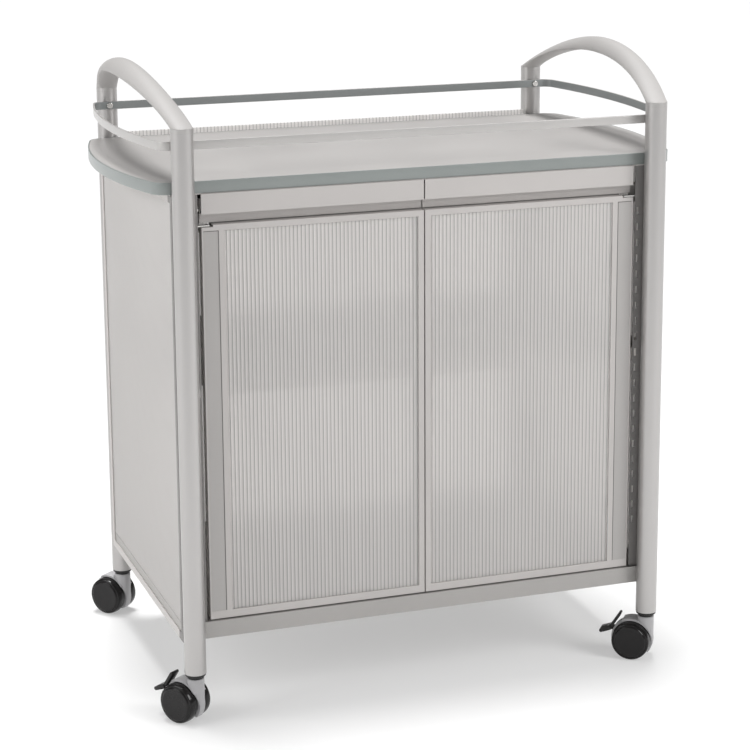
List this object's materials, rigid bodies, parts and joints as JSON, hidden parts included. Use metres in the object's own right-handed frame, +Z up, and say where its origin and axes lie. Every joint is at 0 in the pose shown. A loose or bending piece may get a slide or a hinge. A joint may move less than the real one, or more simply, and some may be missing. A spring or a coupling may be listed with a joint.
{
  "type": "mobile printer stand",
  "caption": "Mobile printer stand: worktop with guard rail and arched push handles over a two-door cabinet with shallow drawers, on locking twin-wheel casters.",
  "frame": {"origin": "on the floor, under the middle of the rectangle of the four posts", "axes": "+X to the user's right when facing the doors, -Y towards the user at the front, +Z up"},
  "size_m": [0.883, 0.5649, 0.973],
  "materials": {
    "post_paint": "silver-grey powder paint, satin",
    "handle_moulding": "silver-grey paint on moulded plastic, satin",
    "worktop_laminate": "light warm grey laminate, fine texture",
    "edge_band": "darker grey-green band, satin",
    "frame_paint": "warm silver-grey paint, satin",
    "strip_paint": "warm silver-grey paint, satin",
    "translucent_sheet": "translucent twin-wall sheet with upright flutes",
    "bright_steel": "zinc-plated",
    "black_plastic": "black, semi-matt",
    "hood_plastic": "mid grey moulded nylon",
    "wheel_black": "black nylon, slightly glossy"
  },
  "bodies": {
    "root": {"adjustable_shelf": "frame_paint", "back_panel": "translucent_sheet", "bottom_pan": "frame_paint", "caster_collars": "black_plastic", "caster_sockets": "black_plastic", "caster_stems": "bright_steel", "door_catches": "black_plastic", "drawer_fixed_runners": "frame_paint", "drawer_support": "frame_paint", "frame_bolts": "bright_steel", "guard_rail": "frame_paint", "guard_rail_screws": "bright_steel", "hinge_brackets": "frame_paint", "left_front_post": "post_paint", "left_handle_arch": "handle_moulding", "left_rear_post": "post_paint", "left_side_frame": "frame_paint", "left_side_panel": "translucent_sheet", "panel_rivets": "black_plastic", "right_front_post": "post_paint", "right_handle_arch": "handle_moulding", "right_rear_post": "post_paint", "right_side_frame": "frame_paint", "right_side_panel": "translucent_sheet", "shelf_clips": "bright_steel", "top_frame": "frame_paint", "worktop_board": "worktop_laminate", "worktop_edge_band": "edge_band"},
    "left_door": {"left_door_frame": "frame_paint", "left_door_strip": "strip_paint", "left_door_panel": "translucent_sheet", "left_door_panel_clips": "black_plastic", "left_door_hinge_pins": "bright_steel"},
    "left_drawer": {"left_drawer_front": "frame_paint", "left_drawer_tray": "frame_paint"},
    "right_door": {"right_door_frame": "frame_paint", "right_door_strip": "strip_paint", "right_door_panel": "translucent_sheet", "right_door_panel_clips": "black_plastic", "right_door_hinge_pins": "bright_steel"},
    "right_drawer": {"right_drawer_front": "frame_paint", "right_drawer_tray": "frame_paint"},
    "left_front_caster": {"left_front_caster_hood": "hood_plastic", "left_front_caster_axle": "bright_steel"},
    "left_front_outer_wheel_body": {"left_front_outer_wheel": "wheel_black"},
    "left_front_inner_wheel_body": {"left_front_inner_wheel": "wheel_black"},
    "left_front_brake": {"left_front_brake_lever": "black_plastic"},
    "left_rear_caster": {"left_rear_caster_hood": "hood_plastic", "left_rear_caster_axle": "bright_steel"},
    "left_rear_outer_wheel_body": {"left_rear_outer_wheel": "wheel_black"},
    "left_rear_inner_wheel_body": {"left_rear_inner_wheel": "wheel_black"},
    "right_front_caster": {"right_front_caster_hood": "hood_plastic", "right_front_caster_axle": "bright_steel"},
    "right_front_outer_wheel_body": {"right_front_outer_wheel": "wheel_black"},
    "right_front_inner_wheel_body": {"right_front_inner_wheel": "wheel_black"},
    "right_front_brake": {"right_front_brake_lever": "black_plastic"},
    "right_rear_caster": {"right_rear_caster_hood": "hood_plastic", "right_rear_caster_axle": "bright_steel"},
    "right_rear_outer_wheel_body": {"right_rear_outer_wheel": "wheel_black"},
    "right_rear_inner_wheel_body": {"right_rear_inner_wheel": "wheel_black"}
  },
  "joints": [
    {"name": "left_door_hinge", "type": "hinge", "parent": "root", "child": "left_door", "pos_m": [-0.335, -0.222, 0.45], "axis": [0, 0, -1], "range_deg": [0, 110]},
    {"name": "left_drawer_slide", "type": "slide", "parent": "root", "child": "left_drawer", "axis": [0, -1, 0], "range_m": [0, 0.3]},
    {"name": "right_door_hinge", "type": "hinge", "parent": "root", "child": "right_door", "pos_m": [0.335, -0.222, 0.45], "axis": [0, 0, 1], "range_deg": [0, 110]},
    {"name": "right_drawer_slide", "type": "slide", "parent": "root", "child": "right_drawer", "axis": [0, -1, 0], "range_m": [0, 0.3]},
    {"name": "left_front_swivel", "type": "hinge", "parent": "root", "child": "left_front_caster", "pos_m": [-0.3725, -0.2445, 0.06], "axis": [0, 0, 1], "continuous": true},
    {"name": "left_front_outer_roll", "type": "hinge", "parent": "left_front_caster", "child": "left_front_outer_wheel_body", "pos_m": [-0.38484, -0.22751, 0.031], "axis": [-0.809, -0.5878, 0], "continuous": true},
    {"name": "left_front_inner_roll", "type": "hinge", "parent": "left_front_caster", "child": "left_front_inner_wheel_body", "pos_m": [-0.38484, -0.22751, 0.031], "axis": [-0.809, -0.5878, 0], "continuous": true},
    {"name": "left_front_brake_rock", "type": "hinge", "parent": "left_front_caster", "child": "left_front_brake", "pos_m": [-0.39886, -0.20822, 0.04368], "axis": [-0.809, -0.5878, 0], "range_deg": [0, 12]},
    {"name": "left_rear_swivel", "type": "hinge", "parent": "root", "child": "left_rear_caster", "pos_m": [-0.3725, 0.2445, 0.06], "axis": [0, 0, 1], "continuous": true},
    {"name": "left_rear_outer_roll", "type": "hinge", "parent": "left_rear_caster", "child": "left_rear_outer_wheel_body", "pos_m": [-0.38572, 0.26082, 0.031], "axis": [-0.7771, -0.6293, 0], "continuous": true},
    {"name": "left_rear_inner_roll", "type": "hinge", "parent": "left_rear_caster", "child": "left_rear_inner_wheel_body", "pos_m": [-0.38572, 0.26082, 0.031], "axis": [-0.7771, -0.6293, 0], "continuous": true},
    {"name": "right_front_swivel", "type": "hinge", "parent": "root", "child": "right_front_caster", "pos_m": [0.3725, -0.2445, 0.06], "axis": [0, 0, 1], "continuous": true},
    {"name": "right_front_outer_roll", "type": "hinge", "parent": "right_front_caster", "child": "right_front_outer_wheel_body", "pos_m": [0.35573, -0.23186, 0.031], "axis": [-0.6018, -0.7986, 0], "continuous": true},
    {"name": "right_front_inner_roll", "type": "hinge", "parent": "right_front_caster", "child": "right_front_inner_wheel_body", "pos_m": [0.35573, -0.23186, 0.031], "axis": [-0.6018, -0.7986, 0], "continuous": true},
    {"name": "right_front_brake_rock", "type": "hinge", "parent": "right_front_caster", "child": "right_front_brake", "pos_m": [0.33669, -0.21751, 0.04368], "axis": [-0.6018, -0.7986, 0], "range_deg": [0, 12]},
    {"name": "right_rear_swivel", "type": "hinge", "parent": "root", "child": "right_rear_caster", "pos_m": [0.3725, 0.2445, 0.06], "axis": [0, 0, 1], "continuous": true},
    {"name": "right_rear_outer_roll", "type": "hinge", "parent": "right_rear_caster", "child": "right_rear_outer_wheel_body", "pos_m": [0.35739, 0.25909, 0.031], "axis": [-0.6947, -0.7193, 0], "continuous": true},
    {"name": "right_rear_inner_roll", "type": "hinge", "parent": "right_rear_caster", "child": "right_rear_inner_wheel_body", "pos_m": [0.35739, 0.25909, 0.031], "axis": [-0.6947, -0.7193, 0], "continuous": true}
  ]
}
